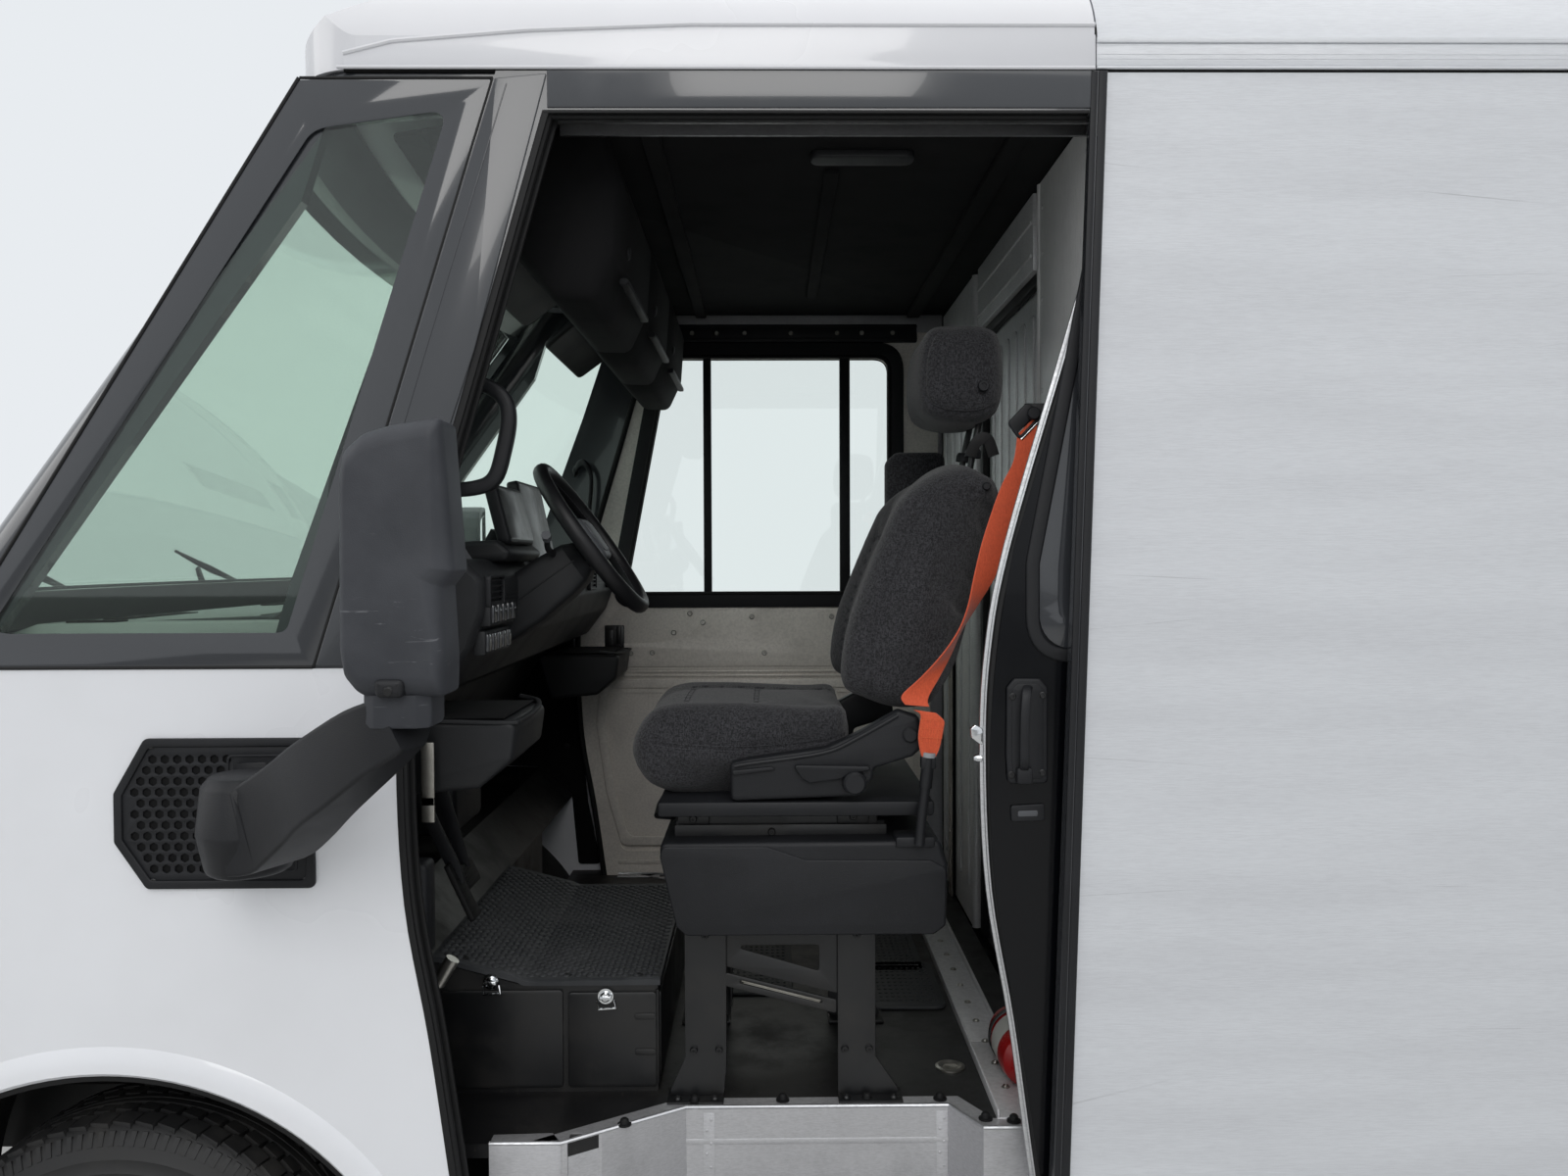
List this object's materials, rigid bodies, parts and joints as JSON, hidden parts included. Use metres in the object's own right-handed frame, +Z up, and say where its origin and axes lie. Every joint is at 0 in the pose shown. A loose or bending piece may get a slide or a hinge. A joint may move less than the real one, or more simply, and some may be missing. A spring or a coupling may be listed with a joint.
{
  "type": "electric delivery van",
  "caption": "Electric step-in delivery van with sliding side doors, folding mirrors, walk-through cab and roll-up rear door.",
  "frame": {"origin": "on the ground under the middle of the van's length, on its centre plane", "axes": "+X towards the van's front, +Y towards its left side, +Z up"},
  "size_m": [6.2, 2.9234, 2.7849],
  "materials": {
    "white_paint": "gloss",
    "cargo_white": "brushed satin",
    "gloss_black": "gloss",
    "black_plastic": "fine grain",
    "glass": "clear, slightly green",
    "mirror_face": "mirror",
    "tyre_rubber": "matte",
    "wheel_steel": "satin",
    "frame_black": "satin",
    "battery_case": "satin",
    "bare_aluminium": "mill",
    "mat_rubber": "textured",
    "seat_cloth": "woven heather",
    "belt_webbing": "woven",
    "lamp_clear": "clear lens",
    "lamp_red": "lens",
    "red_paint": "gloss"
  },
  "bodies": {
    "root": {"chassis_frame": "frame_black", "battery_pack": "battery_case", "drive_unit": "frame_black", "rear_axle": "frame_black", "wheel_houses": "frame_black", "step_wells": "bare_aluminium", "cab_floor": "frame_black", "platform_mat": "mat_rubber", "front_side_panels": "white_paint", "nose_panel": "white_paint", "nose_trims": "black_plastic", "headlamps": "lamp_clear", "bumper_front": "black_plastic", "cab_frame": "gloss_black", "cab_glass": "glass", "cab_roof": "white_paint", "cargo_roof": "cargo_white", "cab_ceiling": "black_plastic", "door_rails": "bare_aluminium", "doorway_surrounds": "gloss_black", "cargo_sides": "cargo_white", "door_pockets": "frame_black", "cargo_floor": "bare_aluminium", "bulkhead": "bare_aluminium", "rear_frame": "cargo_white", "rear_door": "cargo_white", "bumper_rear": "black_plastic", "tail_lamps": "lamp_red", "dashboard": "black_plastic", "seat_base": "frame_black", "seat_cushion": "seat_cloth", "seat_back": "seat_cloth", "seat_belt": "belt_webbing", "grab_handles": "black_plastic", "vent_plates": "black_plastic", "fire_extinguisher": "red_paint"},
    "knuckle_left": {"knuckle_left": "frame_black"},
    "wheel_front_left": {"tyre_front_left": "tyre_rubber", "rim_front_left": "wheel_steel"},
    "wheel_rear_left": {"tyre_rear_left": "tyre_rubber", "rim_rear_left": "wheel_steel"},
    "door_left": {"door_left": "gloss_black", "door_glass_left": "glass"},
    "mirror_left": {"mirror_left": "black_plastic", "mirror_glass_left": "mirror_face"},
    "knuckle_right": {"knuckle_right": "frame_black"},
    "wheel_front_right": {"tyre_front_right": "tyre_rubber", "rim_front_right": "wheel_steel"},
    "wheel_rear_right": {"tyre_rear_right": "tyre_rubber", "rim_rear_right": "wheel_steel"},
    "door_right": {"door_right": "gloss_black", "door_glass_right": "glass"},
    "mirror_right": {"mirror_right": "black_plastic", "mirror_glass_right": "mirror_face"},
    "steering_wheel": {"steering_wheel": "black_plastic"},
    "hood": {"hood": "white_paint"},
    "bulkhead_door": {"bulkhead_door": "bare_aluminium"}
  },
  "joints": [
    {"name": "steer_left", "type": "hinge", "parent": "root", "child": "knuckle_left", "pos_m": [2.12, 0.716, 0.387], "axis": [0, 0, 1], "range_deg": [-33, 33]},
    {"name": "steer_right", "type": "hinge", "parent": "root", "child": "knuckle_right", "pos_m": [2.12, -0.716, 0.387], "axis": [0, 0, 1], "range_deg": [-33, 33]},
    {"name": "steering_wheel_turn", "type": "hinge", "parent": "root", "child": "steering_wheel", "pos_m": [1.367, 0.55, 1.78], "axis": [-0.8141, 0, 0.5807], "range_deg": [-500, 500]},
    {"name": "spin_front_left", "type": "hinge", "parent": "knuckle_left", "child": "wheel_front_left", "pos_m": [2.12, 0.887, 0.387], "axis": [0, 1, 0], "continuous": true},
    {"name": "spin_front_right", "type": "hinge", "parent": "knuckle_right", "child": "wheel_front_right", "pos_m": [2.12, -0.887, 0.387], "axis": [0, 1, 0], "continuous": true},
    {"name": "spin_rear_left", "type": "hinge", "parent": "root", "child": "wheel_rear_left", "pos_m": [-1.84, 0.887, 0.387], "axis": [0, 1, 0], "continuous": true},
    {"name": "spin_rear_right", "type": "hinge", "parent": "root", "child": "wheel_rear_right", "pos_m": [-1.84, -0.887, 0.387], "axis": [0, 1, 0], "continuous": true},
    {"name": "door_left_slide", "type": "slide", "parent": "root", "child": "door_left", "axis": [1, 0, 0], "range_m": [0, 1.01]},
    {"name": "door_right_slide", "type": "slide", "parent": "root", "child": "door_right", "axis": [-1, 0, 0], "range_m": [0, 1.01]},
    {"name": "bulkhead_door_slide", "type": "slide", "parent": "root", "child": "bulkhead_door", "axis": [0, -1, 0], "range_m": [0, 0.6]},
    {"name": "hood_lift", "type": "hinge", "parent": "root", "child": "hood", "pos_m": [2.665, 0, 1.538], "axis": [0, -1, 0], "range_deg": [0, 60]},
    {"name": "mirror_left_fold", "type": "hinge", "parent": "root", "child": "mirror_left", "pos_m": [1.832, 1.13, 1.3175], "axis": [0, 0, -1], "range_deg": [0, 94]},
    {"name": "mirror_right_fold", "type": "hinge", "parent": "root", "child": "mirror_right", "pos_m": [1.832, -1.13, 1.3175], "axis": [0, 0, -1], "range_deg": [0, 94]}
  ],
  "couplings": [
    {"joint": "steer_right", "follows": "steer_left", "ratio": 1},
    {"joint": "steering_wheel_turn", "follows": "steer_left", "ratio": 15}
  ]
}
